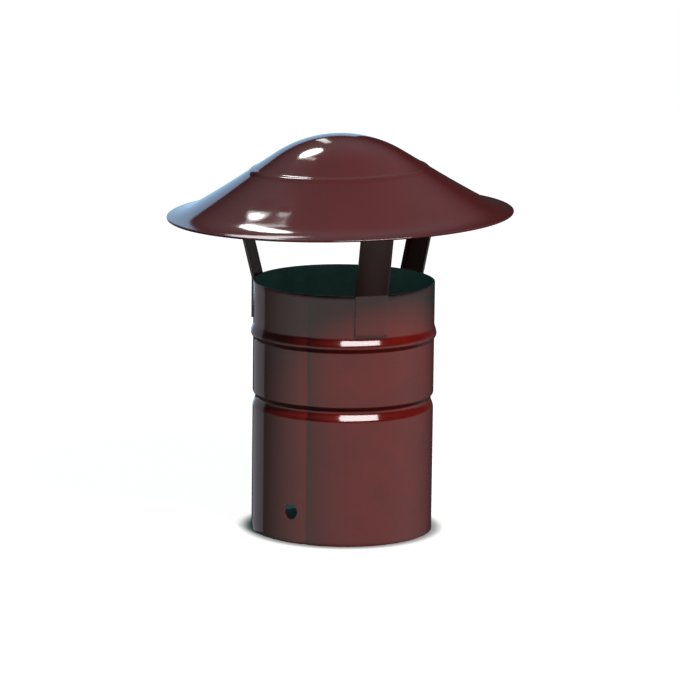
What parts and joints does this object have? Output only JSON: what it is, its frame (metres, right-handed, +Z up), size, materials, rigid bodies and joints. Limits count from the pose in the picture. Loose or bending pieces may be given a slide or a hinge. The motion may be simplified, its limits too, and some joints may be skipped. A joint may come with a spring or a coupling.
{
  "type": "flue cowl",
  "caption": "Enamelled sheet-steel flue cowl: a beaded round pipe that slips on a flue, with a wide domed rain hat held above it on bent straps.",
  "frame": {"origin": "centre of the flue pipe's bottom edge, where the flue goes in", "axes": "+Z up the flue's axis towards the hat, -Y towards the front, +X to the right seen from the front"},
  "size_m": [0.2319, 0.232, 0.2675],
  "materials": {
    "pipe_enamel": "gloss",
    "hat_enamel": "gloss",
    "strap_enamel": "gloss"
  },
  "bodies": {
    "root": {"flue_pipe": "pipe_enamel", "hat": "hat_enamel", "strap_front": "strap_enamel", "strap_right": "strap_enamel", "strap_left": "strap_enamel"}
  },
  "joints": []
}
